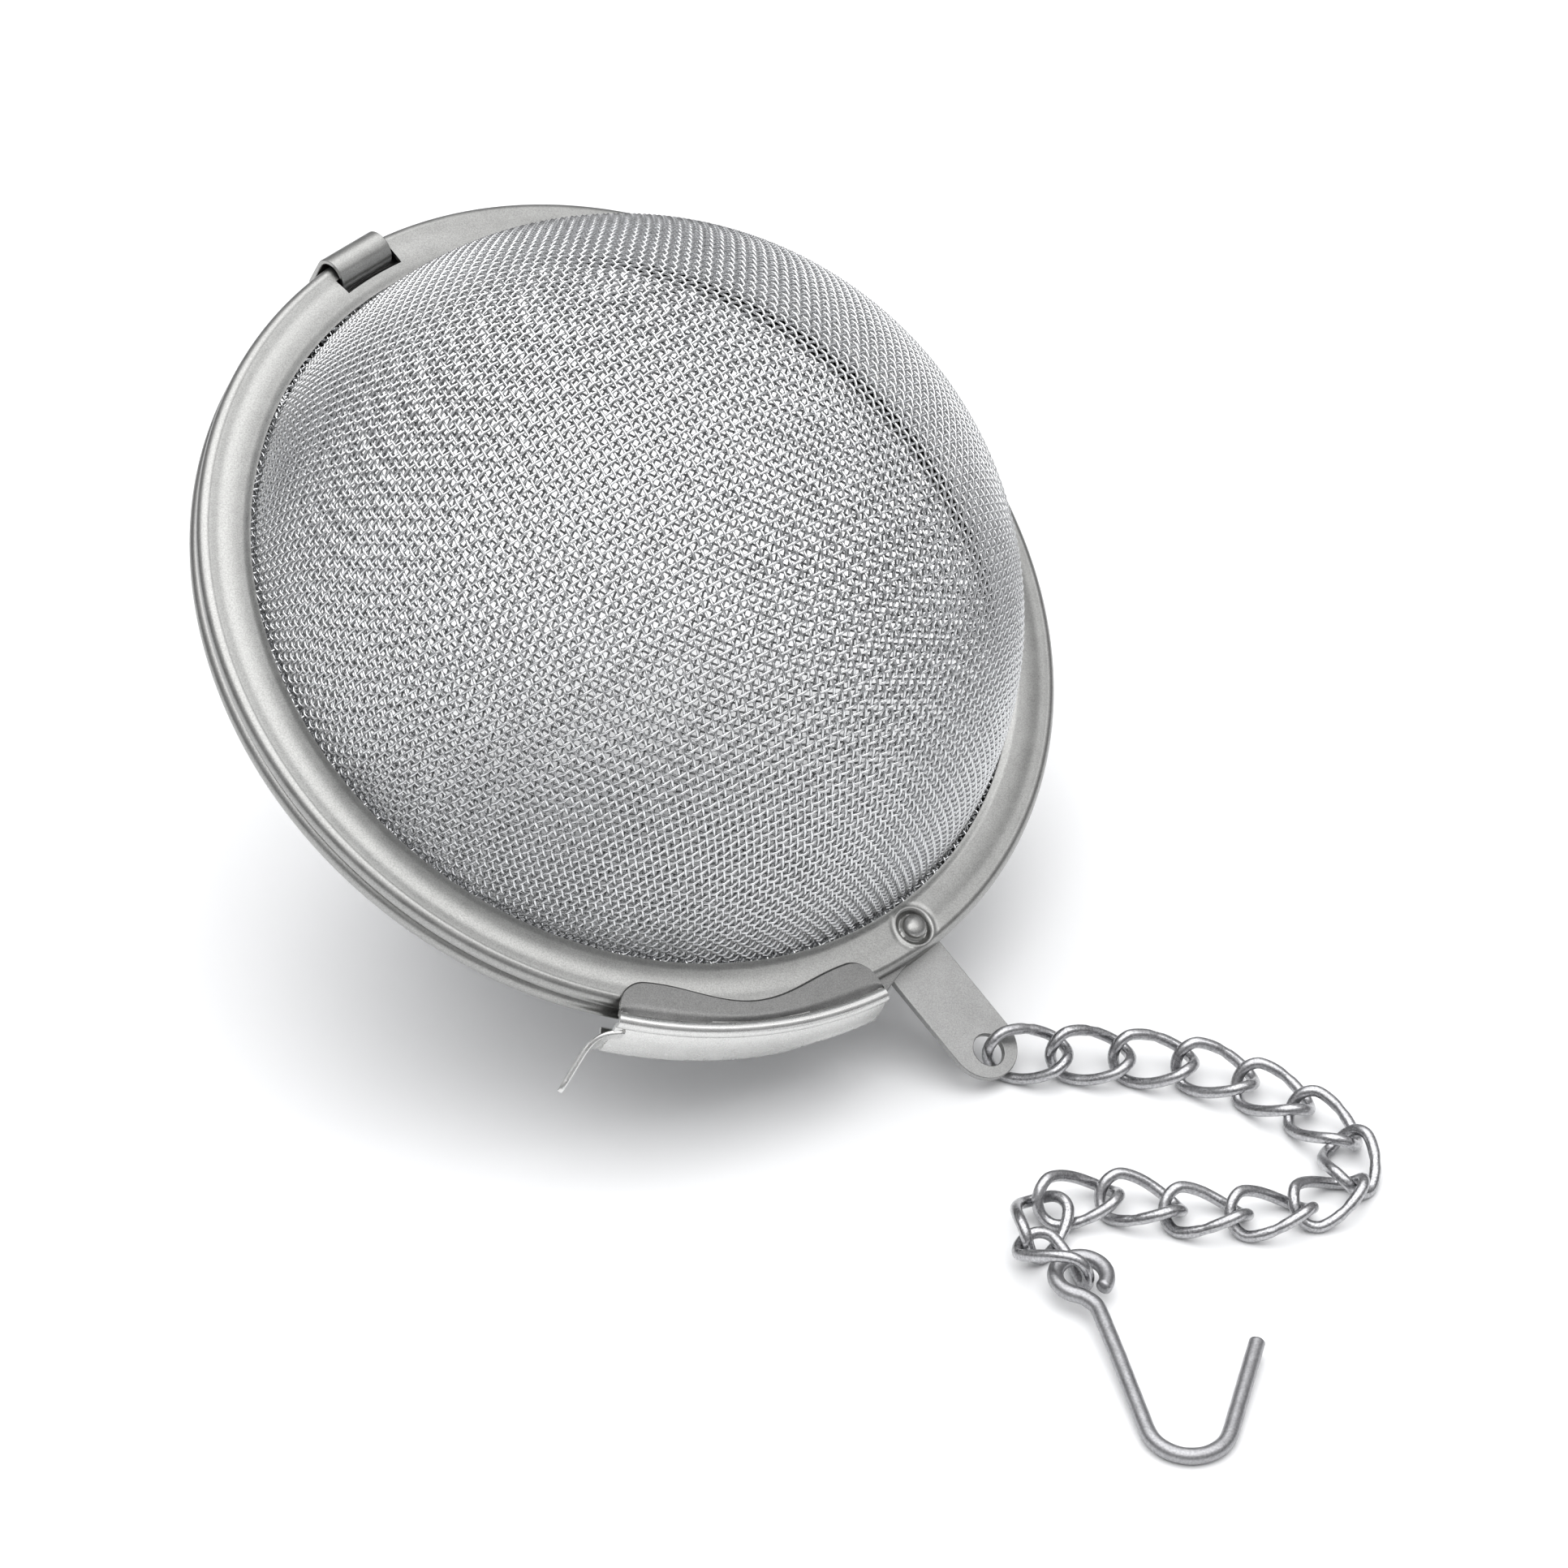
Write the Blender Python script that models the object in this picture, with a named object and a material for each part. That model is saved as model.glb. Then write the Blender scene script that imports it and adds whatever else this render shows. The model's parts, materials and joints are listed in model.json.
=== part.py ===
"""Mesh ball tea infuser.

Two woven half-balls, each clamped in a rolled rim, are joined by a hinge strap and held shut by a
swinging latch. A twisted-link chain with a cup hook hangs on a tab under the lower rim.
The ball lies closed on a level surface, tipped towards its tab, with the chain and the hook beside it.

Ball coordinates: the origin is the centre of the parting plane, +Z is the ball's axis, towards the
upper half, and +X points to the latch rivet and the chain tab. The hinge is on the -X side.
"""

import math

import bmesh
import bpy
from mathutils import Matrix, Vector

MM = 0.001

# Where the ball lies: its axis leans by LEAN towards LEAN_AZIMUTH, and the tab is turned by TAB_TURN
# from the lowest point of the rim.
LEAN = math.radians(34.1)
LEAN_AZIMUTH = math.radians(-47.0)
TAB_TURN = math.radians(5.3)
BALL_CENTRE = Vector((-10.56, 14.84, 26.44)) * MM

# Rims and mesh
SEGMENTS = 48
RIM_R = 32.5 * MM
RIM_BORE_R = 28.8 * MM
RIM_BEAD_R = 0.7 * MM
RIM_LOW = 0.1 * MM
RIM_HIGH = 1.5 * MM
RIM_SHEET = 0.35 * MM
RIM_LEG_R = 30.4 * MM
MESH_FLANGE_R = 29.8 * MM
MESH_FLANGE_LOW = 0.7 * MM
MESH_T = 0.36 * MM
DOME_R = 28.83 * MM
DOME_CENTRE = -2.83 * MM
DOME_RINGS = 8

# Rivets; the latch's is turned a little from the tab's
RIVET_R = 30.7 * MM
LATCH_RIVET_TURN = math.radians(-0.8)
LATCH_RIVET_X = RIVET_R * math.cos(LATCH_RIVET_TURN)
LATCH_RIVET_Y = RIVET_R * math.sin(LATCH_RIVET_TURN)
SHANK_R = 0.55 * MM
RIVET_HOLE_R = 0.7 * MM
HEAD_R = 0.85 * MM
HEAD_H = 0.45 * MM
RIVET_SIDES = 12
# Flat lower heads: (radius, height)
LATCH_FOOT = (1.0 * MM, 0.16 * MM)
TAB_FOOT = (0.75 * MM, 0.15 * MM)
SEAT_GAP = 0.04 * MM
FIT_GAP = 0.07 * MM
CUT_MARGIN = 1.0 * MM

# Hinge: the strap is hooked over the upper rim's rounded edge, through a slot in its flange. It is
# turned by HINGE_TURN from the side opposite the tab.
HINGE_TURN = math.radians(1.8)
HINGE_R = RIM_R - RIM_BEAD_R
HINGE_Z = (RIM_LOW + RIM_HIGH) / 2
HINGE_AXIS = Vector((-HINGE_R * math.cos(HINGE_TURN), -HINGE_R * math.sin(HINGE_TURN), HINGE_Z))
STRAP_W = 4.9 * MM
STRAP_T = 0.35 * MM
STRAP_HOOK_R = 1.0 * MM
STRAP_FOOT_R = 29.6 * MM
STRAP_FOOT_TOP = -1.65 * MM
SLOT_W = 5.4 * MM
SLOT_INNER_R = 29.95 * MM
SLOT_OUTER_R = 31.2 * MM

# Latch, drawn where it has just let go of the lower rim
LATCH_NEAR = math.radians(-10.4)
LATCH_FAR = math.radians(-45.3)
LATCH_T = 0.4 * MM
LATCH_TOP = 2.05 * MM
LATCH_FOLD_R = 34.3 * MM
LATCH_FOOT_R = 34.7 * MM
LATCH_LIP_R = 32.85 * MM
LATCH_WALL_LOW = -1.5 * MM
LATCH_LIP_LOW = -2.15 * MM
EAR_LOW = 0.25 * MM
EAR_T = 0.3 * MM
EAR_R = 1.6 * MM
ARM_INNER = 1.0 * MM
ARM_OUTER = 1.2 * MM
ARM_HALF = 0.6 * MM
ARM_END_R = 34.15 * MM
ARM_END_ANGLES = (-11.5, -14, -17)
EAR_POCKET = (28.5 * MM, -11.5 * MM, 33.1 * MM, 3.2 * MM)
TONGUE_LENGTH = 5.4 * MM
TONGUE_CURL = math.radians(68)
TONGUE_TOP = 1.4 * MM
TONGUE_FALL = 3.4 * MM
TONGUE_LOW = -1.85 * MM
TONGUE_DROOP = 0.9 * MM

# Chain tab, under the lower rim
TAB_W = 5.3 * MM
TAB_T = 0.5 * MM
TAB_TOP = -1.65 * MM
TAB_INNER_R = 29.4 * MM
TAB_TIP_R = 42.7 * MM
TAB_HOLE_R = 1.2 * MM
TAB_HOLE_AT = 40.6 * MM

# Chain: each link is an oval ring, twisted so that neighbours meet square and the chain lies flat
WIRE_R = 0.41 * MM
LINK_HALF_LENGTH = 2.85 * MM
LINK_HALF_WIDTH = 1.8 * MM
LINK_TWIST = math.radians(-48)
LINK_POINTS = 18
LINK_SIDES = 6
LINK_PITCH = 4.45 * MM
# One row for each link: heading and roll in degrees, and the height of its far end in millimetres
CHAIN = (
    (0, 42, 1.95),
    (-1, 35, 1.72),
    (-8, 28, 1.735),
    (-22, 20, 1.42),
    (-37, 12, 1.375),
    (-50, 5, 1.27),
    (-91, 0, 1.255),
    (-144, 0, 1.255),
    (-173, 0, 1.255),
    (-187, 0, 1.255),
    (-198, -5, 1.34),
    (-167, -15, 1.54),
    (-106, -25, 1.75),
    (-45, -38, 1.9),
)

# Cup hook: one bent wire, lying on the surface, its eye held up by the last link
HOOK_WIRE_R = 0.55 * MM
HOOK_SIDES = 8
EYE_R = 1.75 * MM
EYE_START = math.radians(34)
EYE_END = math.radians(345)
EYE_NECK = 1.0 * MM
EYE_HEIGHT = 1.66 * MM
HOOK_REACH = 13.8 * MM
SHANK_OFFSET = 0.35 * MM
HOOK_BEND_R = 2.75 * MM
HOOK_BEND = math.radians(150)
HOOK_TIP = 8.4 * MM
HOOK_HEADING = math.radians(-77)

STEEL = ((0.62, 0.61, 0.59), 0.32)
MESH_STEEL = ((0.55, 0.55, 0.55), 0.4)
CHAIN_STEEL = ((0.45, 0.45, 0.46), 0.35)


def clear_scene():
    for old in list(bpy.data.objects):
        bpy.data.objects.remove(old, do_unlink=True)


def metal(name, look):
    colour, roughness = look
    material = bpy.data.materials.new(name)
    material.use_nodes = True
    shader = material.node_tree.nodes["Principled BSDF"]
    shader.inputs["Base Color"].default_value = (*colour, 1.0)
    shader.inputs["Metallic"].default_value = 1.0
    shader.inputs["Roughness"].default_value = roughness
    return material


def add_object(name, points, faces, parent=None, look=None):
    """A mesh object from points and faces, its faces turned outwards; without a look it is a cutter."""
    mesh = bpy.data.meshes.new(name)
    mesh.from_pydata([tuple(point) for point in points], [], faces)
    shape = bmesh.new()
    shape.from_mesh(mesh)
    bmesh.ops.recalc_face_normals(shape, faces=shape.faces)
    shape.to_mesh(mesh)
    shape.free()
    obj = bpy.data.objects.new(name, mesh)
    bpy.context.scene.collection.objects.link(obj)
    obj.parent = parent
    if look is None:
        obj.hide_render = True
        obj.display_type = "WIRE"
    else:
        mesh.materials.append(metal(name + "_metal", look))
        mesh.shade_smooth()
        mesh.set_sharp_from_angle(angle=math.radians(35))
    return obj


def combine(obj, other, operation):
    change = obj.modifiers.new(other.name, "BOOLEAN")
    change.object = other
    change.operation = operation


def turned(profile, segments):
    """Points and faces of a closed (radius, height) profile turned about Z; radius 0 makes a pole."""
    points = []
    rows = []
    for radius, height in profile:
        if radius == 0:
            points.append((0, 0, height))
            rows.append([len(points) - 1] * segments)
            continue
        rows.append([len(points) + k for k in range(segments)])
        for k in range(segments):
            angle = math.tau * k / segments
            points.append((radius * math.cos(angle), radius * math.sin(angle), height))
    faces = []
    for i, row in enumerate(rows):
        above = rows[(i + 1) % len(rows)]
        for k in range(segments):
            k_next = (k + 1) % segments
            corners = [row[k], row[k_next], above[k_next], above[k]]
            distinct = list(dict.fromkeys(corners))
            if len(distinct) > 2:
                faces.append(distinct)
    return points, faces


def lofted(sections, ring=False):
    """Points and faces of a row of equal outlines, closed by end caps or, for a ring, end to end."""
    count = len(sections[0])
    points = [point for section in sections for point in section]
    faces = []
    for i in range(len(sections) if ring else len(sections) - 1):
        low = i * count
        high = (i + 1) % len(sections) * count
        for k in range(count):
            k_next = (k + 1) % count
            faces.append([low + k, low + k_next, high + k_next, high + k])
    if not ring:
        faces.append(list(range(count)))
        faces.append(list(range(len(points) - count, len(points))))
    return points, faces


def arc(centre_a, centre_b, radius, start, end, steps):
    """Points of an arc, its angles in radians, from start to end."""
    angles = [start + (end - start) * i / steps for i in range(steps + 1)]
    return [(centre_a + radius * math.cos(a), centre_b + radius * math.sin(a)) for a in angles]


def cylinder(name, centre, radius, low, high, parent, look=None, sides=20):
    """An upright cylinder; centre is its place in X and Y."""
    def ring(height):
        return [(x, y, height) for x, y in arc(*centre, radius, 0.1, 0.1 + math.tau, sides)[:-1]]
    return add_object(name, *lofted([ring(low), ring(high)]), parent, look)


def box(name, low, high, parent, look=None):
    corners = ((low[0], low[1]), (high[0], low[1]), (high[0], high[1]), (low[0], high[1]))
    outline = [[(x, y, z) for x, y in corners] for z in (low[2], high[2])]
    return add_object(name, *lofted(outline), parent, look)


def polar(radius, angle, height):
    return (radius * math.cos(angle), radius * math.sin(angle), height)


def ball_frame():
    """The empty that holds the ball: its axis leans, and its +X side points down to the tab."""
    frame = bpy.data.objects.new("ball_frame", None)
    bpy.context.scene.collection.objects.link(frame)
    turn = Matrix.Rotation(LEAN_AZIMUTH, 4, "Z") @ Matrix.Rotation(LEAN, 4, "Y")
    frame.matrix_world = Matrix.Translation(BALL_CENTRE) @ turn @ Matrix.Rotation(TAB_TURN, 4, "Z")
    return frame


def hang(obj, name, place):
    """Puts a moving piece under an empty on its joint's axis, without moving the piece."""
    pivot = bpy.data.objects.get(name)
    if pivot is None:
        pivot = bpy.data.objects.new(name, None)
        bpy.context.scene.collection.objects.link(pivot)
        pivot.parent = obj.parent
        pivot.location = place
    obj.parent = pivot
    obj.location = -pivot.location


# --- the two halves ---------------------------------------------------------------------------------


def rim_profile():
    """A sheet folded round the mesh's edge: flange, rounded outer edge, and a short leg beneath."""
    middle = (RIM_LOW + RIM_HIGH) / 2
    bead = arc(HINGE_R, middle, RIM_BEAD_R, math.pi / 2, -math.pi / 2, 6)
    slot_r = HINGE_R + 0.2 * MM
    slot_top = RIM_HIGH - RIM_SHEET
    slot_low = RIM_LOW + RIM_SHEET
    inside = [(RIM_LEG_R, RIM_LOW), (RIM_LEG_R, slot_low), (slot_r, slot_low)]
    inside += [(slot_r, slot_top), (RIM_BORE_R, slot_top), (RIM_BORE_R, RIM_HIGH)]
    return bead + inside


def dome_profile():
    """A flange for the rim to hold, and a spherical cap of the mesh's thickness."""
    top = MESH_FLANGE_LOW + MESH_T
    outer_start = math.asin((top - DOME_CENTRE) / DOME_R)
    inner_r = DOME_R - MESH_T
    inner_start = math.asin((MESH_FLANGE_LOW - DOME_CENTRE) / inner_r)
    outer = arc(0, DOME_CENTRE, DOME_R, outer_start, math.pi / 2, DOME_RINGS)
    inner = arc(0, DOME_CENTRE, inner_r, math.pi / 2, inner_start, DOME_RINGS)
    outer[-1] = (0, outer[-1][1])
    inner[0] = (0, inner[0][1])
    return [(MESH_FLANGE_R, MESH_FLANGE_LOW), (MESH_FLANGE_R, top)] + outer + inner


def mirrored(profile):
    return [(radius, -height) for radius, height in profile]


def build_upper_rim(frame):
    rim = add_object("upper_rim", *turned(rim_profile(), SEGMENTS), frame, STEEL)
    x_low, y_low, x_high, y_high = EAR_POCKET
    pocket_top = EAR_LOW + EAR_T + FIT_GAP
    pocket = box("cut_latch_pocket", (x_low, y_low, -CUT_MARGIN), (x_high, y_high, pocket_top), frame)
    slot_low = (-SLOT_OUTER_R, -SLOT_W / 2, 0)
    slot_high = (-SLOT_INNER_R, SLOT_W / 2, RIM_HIGH + CUT_MARGIN)
    slot = box("cut_hinge_slot", slot_low, slot_high, frame)
    slot.rotation_euler.z = HINGE_TURN
    rivet_at = (LATCH_RIVET_X, LATCH_RIVET_Y)
    hole = cylinder("cut_latch_rivet", rivet_at, RIVET_HOLE_R, 0, RIM_HIGH + CUT_MARGIN, frame)
    for cutter in (pocket, slot, hole):
        combine(rim, cutter, "DIFFERENCE")
    hang(rim, "lid_hinge", HINGE_AXIS)


def build_lower_rim(frame):
    rim = add_object("lower_rim", *turned(mirrored(rim_profile()), SEGMENTS), frame, STEEL)
    low = -RIM_HIGH - CUT_MARGIN
    hole = cylinder("cut_tab_rivet", (RIVET_R, 0), RIVET_HOLE_R, low, RIM_SHEET - RIM_HIGH + FIT_GAP, frame)
    combine(rim, hole, "DIFFERENCE")


def build_domes(frame):
    upper = add_object("upper_mesh_dome", *turned(dome_profile(), SEGMENTS), frame, MESH_STEEL)
    hang(upper, "lid_hinge", HINGE_AXIS)
    add_object("lower_mesh_dome", *turned(mirrored(dome_profile()), SEGMENTS), frame, MESH_STEEL)


# --- hinge strap, rivets and chain tab --------------------------------------------------------------


def build_hinge_strap(frame):
    """A strip from under the lower rim, up outside both rims, over the bead and down into the slot."""
    hook = arc(HINGE_R, HINGE_Z, STRAP_HOOK_R + STRAP_T, math.radians(200), 0, 10)
    wall_r = HINGE_R + STRAP_HOOK_R
    foot_low = STRAP_FOOT_TOP - STRAP_T
    outline = hook + [(wall_r + STRAP_T, foot_low), (STRAP_FOOT_R, foot_low)]
    outline += [(STRAP_FOOT_R, STRAP_FOOT_TOP), (wall_r, STRAP_FOOT_TOP)]
    outline += arc(HINGE_R, HINGE_Z, STRAP_HOOK_R, 0, math.radians(200), 10)
    sides = [[(-radius, y, height) for radius, height in outline] for y in (-STRAP_W / 2, STRAP_W / 2)]
    strap = add_object("hinge_strap", *lofted(sides), frame, STEEL)
    strap.rotation_euler.z = HINGE_TURN


def rivet_profile(low_head, high_head, low, high):
    """Half outline of a rivet from its lower head's (radius, height) to its upper, domed head."""
    low_r, low_h = low_head
    high_r, high_h = high_head
    return [
        (0, low),
        (low_r, low),
        (low_r, low + low_h),
        (SHANK_R, low + low_h),
        (SHANK_R, high - high_h),
        (high_r, high - high_h),
        (high_r * 0.82, high - high_h * 0.35),
        (high_r * 0.4, high),
        (0, high),
    ]


def build_rivets(frame):
    # The latch rivet's flat lower head is inside the upper rim, under the latch's ear.
    low = EAR_LOW - LATCH_FOOT[1] - SEAT_GAP
    profile = rivet_profile(LATCH_FOOT, (HEAD_R, HEAD_H), low, RIM_HIGH + HEAD_H + SEAT_GAP)
    points, faces = turned(profile, RIVET_SIDES)
    points = [(x + LATCH_RIVET_X, y + LATCH_RIVET_Y, z) for x, y, z in points]
    hang(add_object("latch_rivet", points, faces, frame, STEEL), "lid_hinge", HINGE_AXIS)
    # The tab rivet's flat head is inside the lower rim, and its domed head is under the tab.
    low = RIM_HIGH - RIM_SHEET - TAB_FOOT[1] - SEAT_GAP
    depth = TAB_T - TAB_TOP + HEAD_H + SEAT_GAP
    profile = mirrored(rivet_profile(TAB_FOOT, (HEAD_R, HEAD_H), low, depth))
    points, faces = turned(profile, RIVET_SIDES)
    add_object("tab_rivet", [(x + RIVET_R, y, z) for x, y, z in points], faces, frame, STEEL)


def build_chain_tab(frame):
    """A flat strip with a round end and a hole for the first link."""
    half = TAB_W / 2
    end = arc(TAB_TIP_R - half, 0, half, -math.pi / 2, math.pi / 2, 10)
    outline = [(TAB_INNER_R, -half)] + end + [(TAB_INNER_R, half)]
    layers = [[(x, y, z) for x, y in outline] for z in (TAB_TOP - TAB_T, TAB_TOP)]
    tab = add_object("chain_tab", *lofted(layers), frame, STEEL)
    low = TAB_TOP - TAB_T - CUT_MARGIN
    high = TAB_TOP + CUT_MARGIN
    for name, x, radius in (
        ("cut_chain_hole", TAB_HOLE_AT, TAB_HOLE_R),
        ("cut_tab_hole", RIVET_R, RIVET_HOLE_R),
    ):
        combine(tab, cylinder(name, (x, 0), radius, low, high, frame), "DIFFERENCE")


# --- latch ------------------------------------------------------------------------------------------


def eased(value, start, end):
    """0 before start, 1 after end, smooth in between."""
    share = min(max((value - start) / (end - start), 0), 1)
    return share * share * (3 - 2 * share)


def latch_section(angle):
    """The clip's cross-section at an angle round the rim: top leg, outer wall and lower lip."""
    hump_span = math.radians(26.7)
    hump_at = math.radians(-14.1)
    wave = math.cos(math.tau * (angle - hump_at) / hump_span)
    corner = 0
    for edge in (LATCH_NEAR, LATCH_FAR):
        near = max(1 - abs(angle - edge) / math.radians(3), 0)
        corner += 1.3 * MM * (1 - math.sqrt(1 - near * near))
    top_r = 31.35 * MM - 0.42 * MM * wave + corner
    hooked = eased(-angle, math.radians(18), math.radians(24))
    low = LATCH_WALL_LOW + (LATCH_LIP_LOW - LATCH_WALL_LOW) * hooked
    inner_r = LATCH_FOOT_R - LATCH_T
    lip_r = inner_r - 0.05 * MM + (LATCH_LIP_R - inner_r) * hooked
    fold = 0.45 * MM
    section = [
        (top_r, LATCH_TOP),
        (LATCH_FOLD_R - fold, LATCH_TOP),
        (LATCH_FOLD_R, LATCH_TOP - fold),
        (LATCH_FOOT_R, low),
        (lip_r, low),
        (lip_r, low + LATCH_T),
        (inner_r - 0.02 * MM, low + LATCH_T),
        (LATCH_FOLD_R - LATCH_T, LATCH_TOP - LATCH_T),
        (top_r, LATCH_TOP - LATCH_T),
    ]
    return [polar(radius, angle, height) for radius, height in section]


def latch_tongue():
    """The thumb tongue: the outer wall runs on past the clip and curls away from the rim."""
    steps = 8
    start = LATCH_FAR + math.radians(1.5)
    x, y, _ = polar(LATCH_FOOT_R - LATCH_T * 0.75, start, 0)
    heading = LATCH_FAR - math.pi / 2
    sections = []
    for i in range(steps + 1):
        share = i / steps
        turn = heading + TONGUE_CURL * eased(share, 0, 0.55)
        side = Vector((math.sin(turn), -math.cos(turn), 0)) * LATCH_T / 2
        top = TONGUE_TOP - TONGUE_FALL * share
        low = TONGUE_LOW - TONGUE_DROOP * share**2
        spot = Vector((x, y, 0))
        sections.append(
            [
                tuple(spot + side + Vector((0, 0, low))),
                tuple(spot - side + Vector((0, 0, low))),
                tuple(spot - side + Vector((0, 0, top))),
                tuple(spot + side + Vector((0, 0, top))),
            ]
        )
        x += math.cos(turn) * TONGUE_LENGTH / steps
        y += math.sin(turn) * TONGUE_LENGTH / steps
    return lofted(sections)


def build_latch(frame):
    steps = 22
    angles = [LATCH_NEAR + (LATCH_FAR - LATCH_NEAR) * i / steps for i in range(steps + 1)]
    latch = add_object("latch", *lofted([latch_section(angle) for angle in angles]), frame, STEEL)
    ear_top = EAR_LOW + EAR_T
    rivet_at = (LATCH_RIVET_X, LATCH_RIVET_Y)
    ear = cylinder("join_ear", rivet_at, EAR_R, EAR_LOW, ear_top, frame)
    # The arm runs from the ear to the clip's wall.
    arm = [(RIVET_R - ARM_INNER, -ARM_HALF), (RIVET_R + ARM_OUTER, ARM_HALF / 2)]
    arm += [polar(ARM_END_R, math.radians(a), 0)[:2] for a in ARM_END_ANGLES]
    arm_layers = [[(x, y, z) for x, y in arm] for z in (EAR_LOW, ear_top)]
    joined = [
        ear,
        add_object("join_arm", *lofted(arm_layers), frame),
        add_object("join_tongue", *latch_tongue(), frame),
    ]
    for piece in joined:
        combine(latch, piece, "UNION")
    low = EAR_LOW - EAR_T
    hole = cylinder("cut_ear", rivet_at, RIVET_HOLE_R, low, ear_top + EAR_T, frame)
    combine(latch, hole, "DIFFERENCE")
    hang(latch, "latch_pivot", Vector((*rivet_at, EAR_LOW + EAR_T / 2)))


# --- chain and hook ---------------------------------------------------------------------------------


def tube_sections(path, normals, radius, sides, ring=False):
    """Round sections along a path, each square to it; a normal is any direction across the wire."""
    sections = []
    last = len(path) - 1
    for i, point in enumerate(path):
        if ring:
            ahead = path[(i + 1) % len(path)] - path[i - 1]
        else:
            ahead = path[min(i + 1, last)] - path[max(i - 1, 0)]
        ahead.normalize()
        across = normals[i] - ahead * normals[i].dot(ahead)
        across.normalize()
        third = ahead.cross(across)
        turns = [math.tau * (k + 0.5) / sides for k in range(sides)]
        sections.append([point + (across * math.cos(a) + third * math.sin(a)) * radius for a in turns])
    return sections


def link_mesh_data():
    """One link along X, its origin where it hangs from the link before it."""
    path = []
    normals = []
    straight = LINK_HALF_LENGTH - LINK_HALF_WIDTH
    for i in range(LINK_POINTS):
        angle = math.tau * (i + 0.5) / LINK_POINTS
        ease = math.copysign(min(abs(math.cos(angle)) * 2.5, 1), math.cos(angle))
        x = straight * ease + LINK_HALF_WIDTH * math.cos(angle)
        width = LINK_HALF_WIDTH * math.sin(angle)
        twist = LINK_TWIST * x / LINK_HALF_LENGTH
        path.append(Vector((LINK_PITCH / 2 + x, width * math.cos(twist), width * math.sin(twist))))
        normals.append(Vector((0, -math.sin(twist), math.cos(twist))))
    return lofted(tube_sections(path, normals, WIRE_R, LINK_SIDES, ring=True), ring=True)


def chain_ends(frame):
    """Where the links meet, from the tab's hole to the hook's eye."""
    start = frame.matrix_world @ Vector((TAB_HOLE_AT, 0, TAB_TOP - TAB_T / 2))
    first = math.radians(CHAIN[0][0])
    slack = LINK_HALF_LENGTH - LINK_PITCH / 2
    start += Vector((math.cos(first), math.sin(first), 0)) * slack
    start.z = CHAIN[0][2] * MM
    ends = [start]
    for heading, _, height in CHAIN:
        run = math.radians(heading)
        end = ends[-1] + Vector((math.cos(run), math.sin(run), 0)) * LINK_PITCH
        end.z = height * MM
        ends.append(end)
    return ends


def build_chain(frame):
    ends = chain_ends(frame)
    points, faces = link_mesh_data()
    template = add_object("chain_link_01", points, faces, None, CHAIN_STEEL)
    for i, (_, roll, _) in enumerate(CHAIN):
        link = template
        if i > 0:
            link = template.copy()
            link.name = f"chain_link_{i + 1:02d}"
            bpy.context.scene.collection.objects.link(link)
        along = (ends[i + 1] - ends[i]).normalized()
        across = Vector((0, 0, 1)).cross(along).normalized()
        turn = Matrix((along, across, along.cross(across))).transposed().to_4x4()
        roll_turn = Matrix.Rotation(math.radians(roll), 4, "X")
        link.matrix_world = Matrix.Translation(ends[i]) @ turn @ roll_turn
    return ends[-1]


def hook_path():
    """The hook's centre line in its own plane: the eye round the origin, then the shank along +X."""
    flat = arc(0, 0, EYE_R, EYE_START, EYE_END, 14)
    flat.append((EYE_R + EYE_NECK, SHANK_OFFSET * 0.8))
    flat.append((HOOK_REACH / 2, SHANK_OFFSET))
    x = HOOK_REACH
    centre_y = SHANK_OFFSET + HOOK_BEND_R
    bend = arc(x, centre_y, HOOK_BEND_R, -math.pi / 2, -math.pi / 2 + HOOK_BEND, 10)
    flat += bend
    tip = (bend[-1][0] + math.cos(HOOK_BEND) * HOOK_TIP, bend[-1][1] + math.sin(HOOK_BEND) * HOOK_TIP)
    flat.append(((bend[-1][0] + tip[0]) / 2, (bend[-1][1] + tip[1]) / 2))
    flat.append(tip)
    return [Vector((a, b, 0)) for a, b in flat]


def build_hook(eye_contact):
    path = hook_path()
    normals = [Vector((0, 0, 1))] * len(path)
    points, faces = lofted(tube_sections(path, normals, HOOK_WIRE_R, HOOK_SIDES))
    hook = add_object("cup_hook", points, faces, None, CHAIN_STEEL)
    # The wire has flat sides, so it lies a little lower than its radius.
    rest = HOOK_WIRE_R * math.cos(math.pi / HOOK_SIDES)
    dip = math.asin((EYE_HEIGHT - rest) / (HOOK_REACH + HOOK_BEND_R))
    turn = Matrix.Rotation(HOOK_HEADING, 4, "Z") @ Matrix.Rotation(dip, 4, "Y")
    hook.matrix_world = Matrix.Translation(eye_contact) @ turn


def main():
    clear_scene()
    frame = ball_frame()
    build_upper_rim(frame)
    build_lower_rim(frame)
    build_domes(frame)
    build_hinge_strap(frame)
    build_rivets(frame)
    build_chain_tab(frame)
    build_latch(frame)
    bpy.context.view_layer.update()
    last = build_chain(frame)
    build_hook(Vector((last.x, last.y, EYE_HEIGHT)))


main()
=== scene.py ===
"""Looks for a mesh ball tea infuser, lying closed on a pale surface with its chain and cup hook.

Lengths are in millimetres until a piece is made. The ball's pieces are drawn in ball coordinates: the
origin is the centre of the parting plane, +Z is the ball's axis towards the lid, +X points to the two
rivets, and the hinge is on the -X side. The chain and the hook are drawn along their own joints.
"""

import json
import math

import bmesh
import bpy
import numpy as np
from mathutils import Matrix, Vector

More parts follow.
